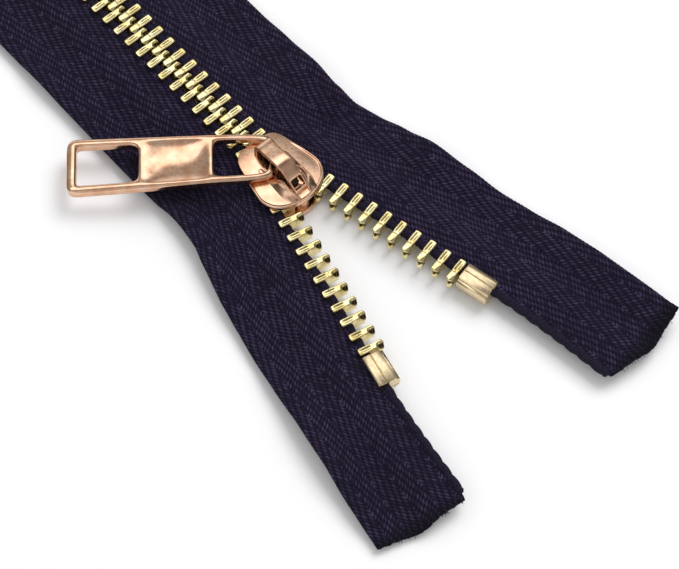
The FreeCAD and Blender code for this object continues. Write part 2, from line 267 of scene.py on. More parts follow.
class Graph:
    """A node material, written as sums of sockets and numbers."""

    def __init__(self, name):
        self.material = bpy.data.materials.new(name)
        self.material.use_nodes = True
        self.tree = self.material.node_tree
        self.shader = self.tree.nodes["Principled BSDF"]

    def feed(self, value, socket):
        if isinstance(value, bpy.types.NodeSocket):
            self.tree.links.new(value, socket)
        else:
            socket.default_value = value

    def node(self, kind, **settings):
        made = self.tree.nodes.new(kind)
        for key, value in settings.items():
            setattr(made, key, value)
        return made

    def math(self, operation, *values):
        made = self.node("ShaderNodeMath", operation=operation)
        for value, socket in zip(values, made.inputs):
            self.feed(value, socket)
        return made.outputs[0]

    def blend(self, share, low, high):
        made = self.node("ShaderNodeMix", data_type="RGBA")
        self.feed(share, made.inputs[0])
        self.feed(low, made.inputs[6])
        self.feed(high, made.inputs[7])
        return made.outputs[2]

    def ramp(self, value, low_in, high_in, low_out, high_out):
        made = self.node("ShaderNodeMapRange")
        for number, socket in zip((value, low_in, high_in, low_out, high_out), made.inputs):
            self.feed(number, socket)
        return made.outputs[0]

    def noise(self, place, feature_mm, detail=2.0, stretch=None):
        if stretch:
            scaled = self.node("ShaderNodeVectorMath", operation="MULTIPLY")
            self.feed(place, scaled.inputs[0])
            scaled.inputs[1].default_value = stretch
            place = scaled.outputs[0]
        made = self.node("ShaderNodeTexNoise")
        self.feed(place, made.inputs["Vector"])
        made.inputs["Scale"].default_value = 1 / feature_mm
        made.inputs["Detail"].default_value = detail
        return made.outputs["Fac"]

    def place_mm(self):
        """Where the point is on its own piece, in millimetres."""
        coordinates = self.node("ShaderNodeTexCoord")
        scaled = self.node("ShaderNodeVectorMath", operation="SCALE")
        self.feed(coordinates.outputs["Object"], scaled.inputs[0])
        scaled.inputs["Scale"].default_value = 1 / MM
        return scaled.outputs[0]

    def bump(self, height, distance_mm):
        made = self.node("ShaderNodeBump")
        self.feed(height, made.inputs["Height"])
        made.inputs["Distance"].default_value = distance_mm * MM
        made.inputs["Strength"].default_value = 1.0
        self.feed(made.outputs[0], self.shader.inputs["Normal"])

    def set(self, **values):
        for name, value in values.items():
            self.feed(value, self.shader.inputs[name.replace("_", " ")])


def colour(red, green, blue):
    """A colour given in display values from 0 to 255."""
    def linear(value):
        value /= 255
        return value / 12.92 if value <= 0.04045 else ((value + 0.055) / 1.055) ** 2.4
    return (linear(red), linear(green), linear(blue), 1)


def herringbone_fabric():
    """Yarns float over the cloth in short slanting dashes that turn back at each column."""
    graph = Graph("navy_tape_weave")
    uv = graph.node("ShaderNodeUVMap", uv_map="weave")
    split = graph.node("ShaderNodeSeparateXYZ")
    graph.feed(uv.outputs[0], split.inputs[0])
    along, across = split.outputs[0], split.outputs[1]
    wander = graph.noise(uv.outputs[0], 1.3, 3)
    across = graph.math("ADD", across, graph.math("MULTIPLY", graph.math("SUBTRACT", wander, 0.5), 0.5))
    zigzag = graph.math("PINGPONG", across, COLUMN_WIDTH)
    slanted = graph.math("SUBTRACT", zigzag, graph.math("MULTIPLY", along, COLUMN_SLANT))
    yarns = graph.math("DIVIDE", slanted, YARN_WIDTH)
    yarn = graph.math("FLOOR", yarns)
    in_yarn = graph.math("FRACT", yarns)
    floats = graph.math("DIVIDE", graph.math("MULTIPLY_ADD", yarn, FLOAT_SHIFT, along), FLOAT_PITCH)
    in_float = graph.math("FRACT", floats)
    lengthwise = graph.math("SINE", graph.math("MULTIPLY", graph.math(
        "MINIMUM", graph.math("DIVIDE", in_float, 0.72), 1.0), math.pi))
    crosswise = graph.math("SINE", graph.math("MULTIPLY", in_yarn, math.pi))
    height = graph.math("MULTIPLY", lengthwise, crosswise)

    numbers = graph.node("ShaderNodeCombineXYZ")
    graph.feed(yarn, numbers.inputs[0])
    graph.feed(graph.math("FLOOR", floats), numbers.inputs[1])
    chance = graph.node("ShaderNodeTexWhiteNoise")
    graph.feed(numbers.outputs[0], chance.inputs["Vector"])
    lit = graph.math("MULTIPLY", height, graph.ramp(chance.outputs["Value"], 0, 1, 0.2, 1.0))
    yarn_colour = graph.blend(lit, colour(18, 15, 30), colour(70, 63, 84))
    cut_end = graph.ramp(along, TAPE_ALONG[1] - 0.6, TAPE_ALONG[1] + 0.6, 0, 0.8)
    yarn_colour = graph.blend(cut_end, yarn_colour, colour(9, 8, 14))
    patches = graph.noise(uv.outputs[0], 6.0, 2)
    patch_colour = graph.blend(patches, colour(214, 212, 255), colour(255, 222, 244))
    tinted = graph.node("ShaderNodeMix", data_type="RGBA", blend_type="MULTIPLY")
    tinted.inputs[0].default_value = 1
    graph.feed(yarn_colour, tinted.inputs[6])
    graph.feed(patch_colour, tinted.inputs[7])
    graph.feed(tinted.outputs[2], graph.shader.inputs["Base Color"])
    graph.set(Roughness=graph.ramp(lit, 0, 1, 0.92, 0.6))
    graph.shader.inputs["Sheen Weight"].default_value = 0.08
    graph.shader.inputs["Sheen Roughness"].default_value = 0.5
    graph.shader.inputs["Sheen Tint"].default_value = colour(150, 135, 190)
    graph.shader.inputs["Specular IOR Level"].default_value = 0.25
    graph.bump(height, 0.09)
    return graph.material


def cord_fabric():
    """The bead of the tape: fine yarns wound at a slant."""
    graph = Graph("navy_cord_yarn")
    uv = graph.node("ShaderNodeUVMap", uv_map="weave")
    fine = graph.noise(uv.outputs[0], 0.3, 4, stretch=(1, 2.5, 1))
    shade = graph.ramp(fine, 0.35, 0.65, 0, 1)
    graph.feed(graph.blend(shade, colour(9, 7, 15), colour(44, 37, 58)), graph.shader.inputs["Base Color"])
    graph.set(Roughness=graph.ramp(fine, 0, 1, 0.95, 0.8))
    graph.shader.inputs["Specular IOR Level"].default_value = 0.2
    graph.bump(fine, 0.06)
    return graph.material


def plated_metal(name, bright, dull, rough, grain_mm, grain_depth_mm, pits=0.0):
    """Plated metal: soft clouds of colour and fine grain. With pits, there are also dark specks where
    the plating is thin, and painted shade, a dark brown, where the teeth mark their creases and pits."""
    graph = Graph(name)
    place = graph.place_mm()
    clouds = graph.noise(place, 1.6, 3)
    grain = graph.noise(place, grain_mm, 5)
    tone = graph.blend(graph.ramp(clouds, 0.35, 0.65, 0, 1), dull, bright)
    if pits:
        spots = graph.ramp(graph.noise(place, 0.22, 2), 0.70 - 0.08 * pits, 0.76 - 0.08 * pits, 0, 1)
        tone = graph.blend(spots, tone, tuple(0.18 * c for c in dull[:3]) + (1,))
        # Painted shade: the teeth's creases and pits are darkened to a brown that stands for the shadow
        # there.
        painted_crease_shade = graph.node("ShaderNodeAttribute", attribute_name="painted_crease_shade").outputs["Fac"]
        tone = graph.blend(graph.ramp(painted_crease_shade, 0.1, 0.7, 0, 0.92), tone, colour(58, 44, 18))
        height = graph.math("SUBTRACT", graph.math("MULTIPLY", grain, 0.5), spots)
    else:
        height = grain
    graph.feed(tone, graph.shader.inputs["Base Color"])
    graph.shader.inputs["Metallic"].default_value = 1.0
    graph.set(Roughness=graph.ramp(grain, 0.3, 0.7, rough * 0.75, rough * 1.3))
    graph.bump(height, grain_depth_mm)
    return graph.material


TAPE_CLOTH = herringbone_fabric()
CORD_YARN = cord_fabric()
BRASS = plated_metal("tooth_brass_plated", colour(250, 237, 186), colour(222, 200, 134),
                     rough=0.17, grain_mm=0.3, grain_depth_mm=0.02, pits=0.35)
ROSE_GOLD = plated_metal("rose_gold_plated", colour(244, 204, 174), colour(226, 176, 142),
                         rough=0.16, grain_mm=0.4, grain_depth_mm=0.006)
CHAMPAGNE = plated_metal("stop_champagne_plated", colour(234, 214, 176), colour(222, 200, 162),
                         rough=0.24, grain_mm=0.5, grain_depth_mm=0.003)
# Steel of the lock leaf, made far darker than bare steel as painted shade, so that the opening in the strap
# looks dark.
LOCK_STEEL_AND_PAINTED_SHADE = plated_metal("lock_steel_painted_shade", colour(84, 76, 70), colour(50, 44, 40),
                     rough=0.45, grain_mm=0.3, grain_depth_mm=0.01)


# ---- tapes and cords ----

def tape_height(across):
    """Middle of the tape's thickness: level beside the chain, then down on to the table."""
    drop = smoothstep((across - 5.6) / 5.6)
    return CHAIN_Z + (TAPE_HALF_THICK + 0.02 - CHAIN_Z) * drop


# (along, height) of the free edge over the table: the tape is stiff, and ripples where it
# turns out.
EDGE_LIFT = {
    1: ((-85, 0.7), (-60, 1.2), (-40, 1.0), (-23, 1.3), (-17, 2.0), (-10, 3.0), (-5, 2.1), (0, 0.6),
        (5, 0.4), (9, 1.3), (14, 2.5), (20, 1.6), (26, 0.6), (31, 0.9), (37, 1.7), (44, 2.2), (55, 2.6)),
    -1: ((-85, 0.8), (-60, 1.1), (-41, 1.0), (-35, 1.6), (-28, 1.2), (-20, 1.0), (-8, 1.3), (-3, 1.8),
         (3, 2.0), (9, 1.8), (14, 1.4), (18, 1.0), (23, 0.9), (28, 1.5), (36, 2.4), (42, 2.5),
         (48, 1.7), (55, 0.8))}
# (along, distance) by which the right tape's free edge draws in where it is open
PULLED_IN = ((-8, 0.0), (-3, 0.5), (1, 0.9), (4, 1.25), (8, 1.0), (13, 0.6), (22, 0.5), (28, 0.6),
             (36, 0.85), (42, 0.85), (48, 0.6), (55, 0.5))


def towards_edge(across):
    """0 beside the teeth, rising to 1 at the free edge."""
    return smoothstep((across - 4.5) / 11.4)


def edge_lift(along, across, side):
    knots = EDGE_LIFT[side]
    height = 0 * along + knots[0][1]
    for (start, low), (end, high) in zip(knots, knots[1:]):
        height = height + (high - low) * smoothstep((along - start) / (end - start))
    return height * towards_edge(across)


def weave_relief(along, across):
    """Shallow valleys between the columns of the weave, and slow puckers along them."""
    half = COLUMN_WIDTH / 2
    valley = np.exp(-(np.abs(np.mod(across + half, COLUMN_WIDTH) - half) / 0.4) ** 2)
    pucker = np.sin(2 * np.pi * along / 3.7 + across * 0.8) * np.sin(across * 1.1)
    return 0.025 * pucker - 0.04 * valley


def sheet_points(along, across, side, upper):
    middle = tape_height(across) + edge_lift(along, across, side)
    start, end = TAPE_ALONG
    to_end = np.minimum(along - start - CUT_SHORT, end + end_bulge(across, side) - along)
    to_edge = np.minimum(TAPE_ACROSS[1] - across, to_end)
    half = TAPE_HALF_THICK * np.sqrt(np.clip(to_edge / 0.35, 0.12, 1))
    half = half * (1 + 0.35 * smoothstep((1.6 - to_end) / 1.2))
    pulled_in = 0.0 if side > 0 else np.interp(along, *zip(*PULLED_IN)) * towards_edge(across)
    x, y = laid_open(along, side * (across - pulled_in), side)
    if upper:
        z = middle + half + weave_relief(along, across) * np.clip(to_edge / 0.3, 0, 1)
    else:
        z = middle - half
    return np.stack([x, y, z], axis=-1)


def end_bulge(across, side):
    """How far the cut at the top runs out in the middle of its tape, past a square cut."""
    inner, outer = TAPE_ACROSS
    share = (across - inner) / (outer - inner)
    if side > 0:
        return 2.2 * (1 - 0.6 * (2 * share - 1.3) ** 2)
    return 1.5 * (1 - 0.6 * (2 * share - 1.05) ** 2)


def uneven_edge(along, across, side):
    """Selvedge loops at the free edge and a slightly ragged cut at the two ends."""
    loops = 0.05 * np.abs(np.sin(np.pi * along / 0.62))
    across = across + loops * smoothstep((across - TAPE_ACROSS[1] + 0.6) / 0.6)
    start, end = TAPE_ALONG
    rough = 0.05 * np.sin(across * 9.1) + 0.05 * np.sin(across * 23.7 + 1) + 0.16 * np.sin(across * 0.9)
    top, bottom = smoothstep((along - end + 4) / 4), smoothstep((start + 4 - along) / 4)
    along = along + (rough + end_bulge(across, side)) * top + (CUT_SHORT - rough) * bottom
    return along, across


def grid_faces(rows, columns, start, flip):
    index = start + np.arange(rows * columns).reshape(rows, columns)
    quads = np.stack([index[:-1, :-1], index[1:, :-1], index[1:, 1:], index[:-1, 1:]], axis=-1)
    quads = quads.reshape(-1, 4)
    return quads[:, ::-1] if flip else quads


def stitch(fine, coarse, ratio):
    """Triangles between a fine edge and a coarse one that share their ends in place."""
    faces = []
    for k in range(len(coarse) - 1):
        piece = fine[k * ratio:(k + 1) * ratio + 1]
        middle = len(piece) // 2
        faces += [[coarse[k], piece[j + 1], piece[j]] for j in range(middle)]
        faces.append([coarse[k], coarse[k + 1], piece[middle]])
        faces += [[coarse[k + 1], piece[j + 1], piece[j]] for j in range(middle, len(piece) - 1)]
    return faces


def add_tape(name, side):
    """One sheet for the whole length: fine on top, where the weave shows, coarser below."""
    ratio_along, ratio_across = 4, 3
    rows, columns = 4 * 219 + 1, 3 * 31 + 1
    along, across = np.meshgrid(np.linspace(*TAPE_ALONG, rows), np.linspace(*TAPE_ACROSS, columns),
                                indexing="ij")
    along, across = uneven_edge(along, across, side)
    low_along, low_across = along[::ratio_along, ::ratio_across], across[::ratio_along, ::ratio_across]
    top = sheet_points(along, across, side, True)
    bottom = sheet_points(low_along, low_across, side, False)
    low_rows, low_columns = low_along.shape
    points = np.concatenate([top.reshape(-1, 3), bottom.reshape(-1, 3)])
    start = rows * columns
    fine = np.arange(rows * columns).reshape(rows, columns)
    coarse = start + np.arange(low_rows * low_columns).reshape(low_rows, low_columns)
    faces = grid_faces(rows, columns, 0, side < 0).tolist()
    faces += grid_faces(low_rows, low_columns, start, side > 0).tolist()
    faces += stitch(fine[:, 0], coarse[:, 0], ratio_along)
    faces += stitch(fine[:, -1], coarse[:, -1], ratio_along)
    faces += stitch(fine[0, :], coarse[0, :], ratio_across)
    faces += stitch(fine[-1, :], coarse[-1, :], ratio_across)
    obj = add_object(name + "_tape", points, faces, TAPE_CLOTH)
    weave = np.concatenate([np.stack([along, across], -1).reshape(-1, 2),
                            np.stack([low_along, low_across], -1).reshape(-1, 2)])
    add_weave_map(obj, weave)
    bend_with_arm(obj, name)
    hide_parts(name + "_tape_closed", name + "_tape_open")
    return obj


def add_weave_map(obj, weave):
    layer = obj.data.uv_layers.new(name="weave")
    corners = np.zeros(len(obj.data.loops), int)
    obj.data.loops.foreach_get("vertex_index", corners)
    layer.data.foreach_set("uv", weave[corners].astype(np.float32).ravel())


def add_cord(name, side):
    """The bead that the teeth grip, wound with yarn, so that its edge is scalloped."""
    rows, around = 700, 18
    start, end = TAPE_ALONG
    along = np.linspace(start + 0.4, end - 0.4, rows)[:, None]
    angle = np.linspace(0, 2 * np.pi, around, endpoint=False)[None, :]
    wrap = np.abs(np.sin(np.pi * along / SCALLOP_PITCH + angle * side / 2)) ** 0.6
    rounded = np.sqrt(smoothstep((end - 0.2 - along) / 0.7) * smoothstep((along - start - 0.2) / 0.7))
    radius = (CORD_RADIUS - 0.15 + 0.22 * wrap) * rounded
    across = CORD_ACROSS + radius * np.cos(angle)
    along = along + 0 * angle
    x, y = laid_open(along, side * across, side)
    z = CHAIN_Z + radius * np.sin(angle)
    points, faces = loft(np.stack([x, y, z], axis=-1).tolist())
    obj = add_object(name + "_bead_cord", points, faces, CORD_YARN)
    weave = np.stack([along, 0 * along + angle * CORD_RADIUS], -1).reshape(-1, 2)
    weave = np.concatenate([weave, [[start, 0], [end, 0]]])
    add_weave_map(obj, weave)
    bend_with_arm(obj, name)
    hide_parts(name + "_cord_closed", name + "_cord_open")
    return obj


def fibre(start, direction, length, radius, droop):
    """One loose yarn end, a thin curved prism."""
    sections = []
    for step in range(4):
        share = step / 3
        centre = start + direction * length * share + Vector((0, 0, -droop * share ** 2))
        centre.z = max(centre.z, radius)
        thin = radius * (1 - 0.5 * share)
        side = direction.cross(Vector((0, 0, 1))).normalized()
        up = side.cross(direction).normalized()
        sections.append([tuple(centre + (side * math.cos(a) + up * math.sin(a)) * thin)
                         for a in (0.3, 1.87, 3.44, 5.01)])
    return loft(sections)


def add_frayed_end(name, side, body, along, outward):
    """Loose yarn ends along one cut end of the tape."""
    draw = random.Random(5 + 3 * side + int(along))
    parts = []
    for _ in range(36):
        across = draw.uniform(TAPE_ACROSS[0] + 0.3, TAPE_ACROSS[1] - 0.7)
        height = float(tape_height(across) + edge_lift(along, across, side)) + draw.uniform(-0.2, 0.22)
        cut = along + end_bulge(across, side) if outward > 0 else along + CUT_SHORT
        x, y = laid_open(np.array([cut - outward * 0.5]), np.array([side * across]), side)
        point = (float(x[0]), float(y[0]), height)
        turn = draw.gauss(0, 0.45) + (side * OPEN_ANGLE if body != "chain" else 0)
        direction = Vector((outward * math.cos(turn), outward * math.sin(turn), draw.gauss(0, 0.25)))
        parts.append(fibre(Vector(point), direction.normalized(), draw.uniform(0.5, 0.9),
                           draw.uniform(0.04, 0.08), draw.uniform(0, 0.2)))
    points, faces = merged(parts)
    return add_object(name, points, faces, CORD_YARN, body)


for stringer, sign in SIDES.items():
    add_tape(stringer, sign)
    add_cord(stringer, sign)
    frays = [add_frayed_end(stringer + "_fray_top", sign, stringer + "_arm", TAPE_ALONG[1], 1),
             add_frayed_end(stringer + "_fray_bottom", sign, "chain", TAPE_ALONG[0], -1)]


# ---- teeth ----

def tooth(side, foot):
    """One clamped tooth, drawn for the +Y side about the chain axis and the chain's middle plane:
    a bar for its two legs, and a head with a hollow on the -X side. On the +Y row the head ends in
    a foot towards +X, over a crease. On the -Y row it has a pit there. Also gives how much painted
    shade each point gets: full in that crease or pit."""
    xs = (-0.56, -0.3, 0, 0.3, 0.56)
    ys = (-1.08, -0.88, -0.5, 0.0, 0.42, 0.75, 1.1, 1.6, 2.2, 2.65, 2.87)
    zs = (-1.17, -0.85, -0.4, 0.15, 0.6, 0.9, 1.17)

    def in_crease(z):
        return -0.1 < z < 0.7

    def move(x, y, z):
        head = y < 0.6
        if head:
            x *= 0.92
        if y < -1.0:
            y += 0.4 * (abs(x) / 0.5) ** 2
            z *= 0.9
        if -0.6 < y < 0.1 and x < -0.4 and abs(z) < 0.9:
            x += 0.3
        if side > 0:
            if -1.0 < y < -0.4 and x > 0.4 and z > 0.1:
                x += foot
                if z > 1.1:
                    z -= 0.12
            if y < -0.6 and in_crease(z):
                y += 0.42
                z -= 0.05
        else:
            if -1.0 < y < 0.1 and x > 0.4 and z > 0.1:
                x += 0.7 * foot
            if -0.6 < y < -0.4 and 0.2 < x and z > 1.1:
                z -= 0.95
                x -= 0.12
            if -0.6 < y < -0.4 and 0.2 < x < 0.5 and 0.8 < z < 1.0:
                z -= 0.7
        if head and z < 0:
            x *= 0.9
        if y > 2.8 and abs(z) < 0.5:
            y -= 0.7
        if z > 1.1 and 1.0 < y < 2.5 and abs(x) < 0.1:
            z -= 0.09
        if 0.7 < y < 0.8:
            x *= 0.9
            z *= 0.95
        if y > 2.8 and abs(x) > 0.4:
            y -= 0.16
        return x, y, z

    # Painted shade: 1 in the +Y row's crease and in the -Y row's pit, where the teeth should look dark.
    def painted_crease_shade(x, y, z):
        if side > 0:
            return 1.0 if y < -0.4 and in_crease(z) else 0.0
        return 1.0 if -1.0 < y < -0.4 and x > 0.2 and z > 0.5 else 0.0
    points, faces = lattice_block(xs, ys, zs, move)
    plain_points = lattice_block(xs, ys, zs, lambda x, y, z: (x, y, z))[0]
    return points, faces, [painted_crease_shade(*point) for point in plain_points]


def add_teeth(name, side, body, first_x, count, step):
    points, faces, painted_crease_shade = tooth(side, foot=0.2 if body == "chain" else 0.25)
    parts = []
    for number in range(count):
        copy = []
        for x, y, z in points:
            point = (x + first_x + number * step, side * y, z + CHAIN_Z)
            copy.append(point if body == "chain" else on_arm(point, side))
        parts.append((copy, faces))
    row_points, row_faces = merged(parts)
    obj = add_object(name + "_brass", row_points, row_faces, BRASS, body, levels=2)
    # Painted shade for the creases and pits, which the brass material darkens.
    layer = obj.data.attributes.new("painted_crease_shade", "FLOAT", "POINT")
    layer.data.foreach_set("value", painted_crease_shade * count)
    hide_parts(name)


for stringer, sign in SIDES.items():
    first = FIRST_OPEN_X[stringer]
    add_teeth(stringer + "_teeth_closed", sign, "chain", first - PITCH, CLOSED_TEETH, -PITCH)
    add_teeth(stringer + "_teeth_open", sign, stringer + "_arm", first, OPEN_TEETH[stringer], PITCH)


# ---- stops ----

STOP_SECTION = ((2.9, 0.9), (2.86, 1.2), (2.7, 1.3), (2.2, 1.3), (1.72, 1.3), (1.6, 1.17), (1.48, 1.3),
                (1.0, 1.3), (0.45, 1.3), (0.2, 1.24), (0.12, 1.05), (0.08, 0.8), (-0.15, 0.78),
                (-0.36, 0.6), (-0.45, 0.2), (-0.45, -0.4), (-0.3, -0.95), (0.1, -1.24), (0.5, -1.3),
                (1.5, -1.3), (2.7, -1.3), (2.86, -1.2), (2.9, -0.9), (2.9, -0.4), (2.8, -0.33),
                (2.0, -0.33), (2.0, 0.33), (2.8, 0.33), (2.9, 0.4))


def add_top_stop(stringer, side):
    last_tooth = FIRST_OPEN_X[stringer] + (OPEN_TEETH[stringer] - 1) * PITCH
    start = last_tooth + TOOTH_WIDTH / 2 + STOP_GAP
    sections = []
    for offset, inset in ((0, 0.1), (0.06, 0.03), (0.2, 0), (STOP_LENGTH / 2, 0), (STOP_LENGTH - 0.2, 0),
                          (STOP_LENGTH - 0.06, 0.03), (STOP_LENGTH, 0.1)):
        section = []
        for across, height in STOP_SECTION:
            across += inset * (1 if across < 1.2 else -1)
            height -= math.copysign(min(inset, abs(height)), height)
            section.append(on_arm((start + offset, side * across, CHAIN_Z + height), side))
        sections.append(section)
    points, faces = loft(sections)
    obj = add_object(stringer + "_top_stop_clamp", points, faces, CHAMPAGNE, stringer + "_arm",
                     smooth_angle=35)
    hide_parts(stringer + "_top_stop")


for stringer, sign in SIDES.items():
    add_top_stop(stringer, sign)


# ---- slider ----

HALF_OUTLINE = ((-6.05, 0), (-5.85, 2.5), (-4.9, 3.72), (-2.5, 4.42), (0.2, 5.1),
                (2.4, 5.3), (4.4, 4.3), (5.6, 2.4), (6.05, 0))
OUTLINE = list(HALF_OUTLINE) + [(x, -y) for x, y in reversed(HALF_OUTLINE[1:-1])]


def half_width(x):
    """Half the slider plate's width at x."""
    xs = [point[0] for point in HALF_OUTLINE]
    ys = [point[1] for point in HALF_OUTLINE]
    return float(np.interp(x, xs, ys))


def ring(scale, height_at):
    made = []
    for x, y in curve_through(OUTLINE, 112, True):
        made.append((x * scale, y * scale, height_at(x * scale, y * scale)))
    return made


def wing_top(x, y):
    """The top plate is crowned: high beside the strap, lower at the wings' edges, front and rear."""
    front, rear = max(0, x - 1.2), max(0, -2 - x)
    return PLATE_TOP + 0.1 - 0.021 * y * y - 0.010 * front ** 2 - 0.016 * rear ** 2


def add_slider_top():
    def edge(share):
        return lambda x, y: 3.5 + (wing_top(x, y) - 3.5) * share

    def lip(height):
        return lambda x, y: wing_top(x, y) + height * float(smoothstep((x + 3.5) / 4.5))
    sections = [ring(0.3, lambda x, y: 3.5), ring(0.7, lambda x, y: 3.5), ring(0.965, lambda x, y: 3.5),
                ring(0.99, lambda x, y: 3.53), ring(1.0, edge(0.3)), ring(1.0, edge(0.7)),
                ring(0.992, lip(0.0)), ring(0.98, lip(0.12)), ring(0.965, lip(0.15)),
                ring(0.945, lip(0.1)), ring(0.925, lip(0.0)), ring(0.9, lip(-0.02))]
    sections += [ring(scale, wing_top) for scale in (0.8, 0.7, 0.6, 0.5, 0.4, 0.3, 0.2, 0.1)]
    points, faces = loft(sections)
    obj = add_object("slider_top_plate", points, faces, ROSE_GOLD, "slider")
    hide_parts("slider_body")


def add_slider_base():
    heights = ((0.3, 0), (0.7, 0), (0.9, 0), (0.95, 0.03), (0.98, 0.12), (1.0, 0.35), (1.0, 0.75),
               (0.985, 0.95), (0.96, 1.0), (0.7, 1.0), (0.3, 1.0))
    sections = [ring(scale, lambda x, y, z=z: z) for scale, z in heights]
    points, faces = loft(sections)
    add_object("slider_base_plate", points, faces, ROSE_GOLD, "slider")


def add_flanges():
    """Side walls that fold towards the tape from both plates, with the tape's slot between."""
    for name, side in SIDES.items():
        for level, low, high in (("upper", 2.69, 3.55), ("lower", 0.95, 1.81)):
            sections = []
            for x in np.linspace(-4.75, 1.3, 14):
                outer = half_width(x) - 0.06
                inner = min(3.02 + (x + 6.77) * math.tan(OPEN_ANGLE), outer - 0.2)
                section = [(outer, high), (inner, high), (inner, low), (outer, low)]
                sections.append([(x, side * y, z) for y, z in section])
            points, faces = loft(sections)
            obj = add_object(f"slider_{name}_flange_{level}", points, faces, ROSE_GOLD, "slider",
                             smooth_angle=40)
            rounding = obj.modifiers.new("rounding", "BEVEL")
            rounding.width = 0.12 * MM
            rounding.segments = 3
            rounding.limit_method = "ANGLE"


def add_post():
    """The post that parts the two rows of teeth, seen under the front of the top plate."""
    outline = ((0.7, 0.12), (2.6, 0.62), (4.3, 1.0), (5.2, 0.85), (5.55, 0.0))
    whole = list(outline) + [(x, -y) for x, y in reversed(outline[:-1])]
    sections = []
    for z in np.linspace(0.95, 3.55, 6):
        sections.append([(x, y, z) for x, y in curve_through(whole, 48, True)])
    points, faces = loft(sections)
    add_object("slider_post", points, faces, ROSE_GOLD, "slider", smooth_angle=50)


def add_ridges():
    """The wings sweep up beside the strap into a ridge on each side, that closes in at the front."""
    heights = ((-2.0, 0.0), (0.0, 0.08), (0.9, 0.3), (1.6, 0.85), (2.2, 1.25), (2.8, 1.3), (3.4, 1.05),
               (4.0, 0.7), (4.6, 0.4), (5.1, 0.18), (5.6, 0.0))
    for name, side in SIDES.items():
        sections = []
        for x in np.linspace(heights[0][0], heights[-1][0], 26):
            rise = float(np.interp(x, *zip(*heights)))
            middle = 1.5 - 0.55 * float(smoothstep((x - 3.2) / 2.4))
            base = PLATE_TOP - 0.5
            top = PLATE_TOP + 0.06 + rise
            profile = ((1.45, base), (1.35, base + 0.38), (0.95, base + 0.52 + 0.1 * rise),
                       (0.5, base + 0.56 + 0.42 * rise), (0.24, top - 0.12 - 0.1 * rise), (0.1, top),
                       (-0.08, top - 0.03), (-0.18, top - 0.22), (-0.2, base))
            sections.append([(x, side * (middle + dy), z) for dy, z in profile])
        points, faces = loft(sections)
        add_object(f"slider_{name}_ridge", points, faces, ROSE_GOLD, "slider",
                   smooth_angle=75, levels=1)


STRAP_LINE = ((-3.95, 3.95), (-3.97, 4.8), (-3.98, 5.7), (-3.84, 6.48), (-3.3, 6.88), (-2.3, 6.99),
              (-1.2, 7.1), (-0.2, 7.2), (0.7, 7.2), (1.5, 7.02), (2.2, 6.62), (2.9, 6.12), (3.5, 5.62),
              (4.0, 5.1), (4.35, 4.6), (4.42, 3.95))


def add_strap():
    """The crown: an arched strap over the pull's bar, open near its front foot."""
    line = curve_through(STRAP_LINE, 29, False)

    def lines_at(u):
        half = 1.3 - 0.2 * u / 28
        return (-half, -half + 0.25, -0.45, 0.45, half - 0.25, half)

    def place(u, v, w):
        before, after = line[max(0, int(u) - 1)], line[min(28, int(u) + 1)]
        run = after - before
        run = run / np.linalg.norm(run)
        x, z = line[int(u)]
        domed = w + (0.06 * (1 - (v / 1.3) ** 2) if w > 0 else 0)
        return x - run[1] * domed, v, z + run[0] * domed
    holes = {(i, j) for i in (21, 22, 23, 24) for j in (1, 2, 3)}
    points, faces = plate_cage(list(range(29)), lines_at, lambda u, v: 0.31, holes, place)
    obj = add_object("slider_crown_strap", points, faces, ROSE_GOLD, "slider", levels=2)
    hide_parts("slider_crown")


add_slider_top()
add_slider_base()
add_flanges()
add_post()
add_ridges()
add_strap()


# ---- pull tab ----

PULL_YAW = math.radians(50.5)
PULL_TILT = math.radians(4.0)
BAR = (-1.7, 0.3, 5.25)     # where the pull's own axes start, on the bar of its loop
PULL_LENGTH = 29.4
LOOP_START = -0.55
LOOP_WINDOW = (0.5, 8.6)
END_WINDOW = (19.1, 28.0)


def pull_place(u, v, w):
    """From the tab's own axes, along u, across v and up w, to where it lies."""
    x = u * math.cos(PULL_TILT) + w * math.sin(PULL_TILT)
    z = -u * math.sin(PULL_TILT) + w * math.cos(PULL_TILT)
    turn = math.pi + PULL_YAW
    return (BAR[0] + x * math.cos(turn) - v * math.sin(turn),
            BAR[1] + x * math.sin(turn) + v * math.cos(turn), BAR[2] + z)


def pull_edge(u):
    return 3.68 + 0.77 * u / PULL_LENGTH


def pull_window_edge(u):
    return 2.8 + 0.4 * u / PULL_LENGTH


def pull_lines(u):
    outer, inner = pull_edge(u), pull_window_edge(u)
    half = (0.9, inner - 0.85, inner, (outer + inner) / 2, outer)
    return [-v for v in reversed(half)] + [0] + list(half)


def pull_half_thickness(u, v):
    inner, outer = pull_window_edge(u), pull_edge(u)
    body = 0.5 + 0.3 * float(smoothstep((u - 1.0) / 9.0))
    trough = float(smoothstep((u - 8.8) / 2.4) * smoothstep((18.8 - u) / 2.6))
    depth = 0.5 * trough * max(0, 1 - (abs(v) / (inner + 0.55)) ** 2)
    edge = 0.1 if abs(v) > outer - 0.01 or u < -0.5 or u > PULL_LENGTH - 0.01 else 0
    on_end_bar = 28.4 < u < 28.9
    on_side_bar = u > 1.0 and abs(abs(v) - (inner + outer) / 2) < 0.01
    bead = 0.09 if on_side_bar or on_end_bar else 0
    return body - depth - edge + bead


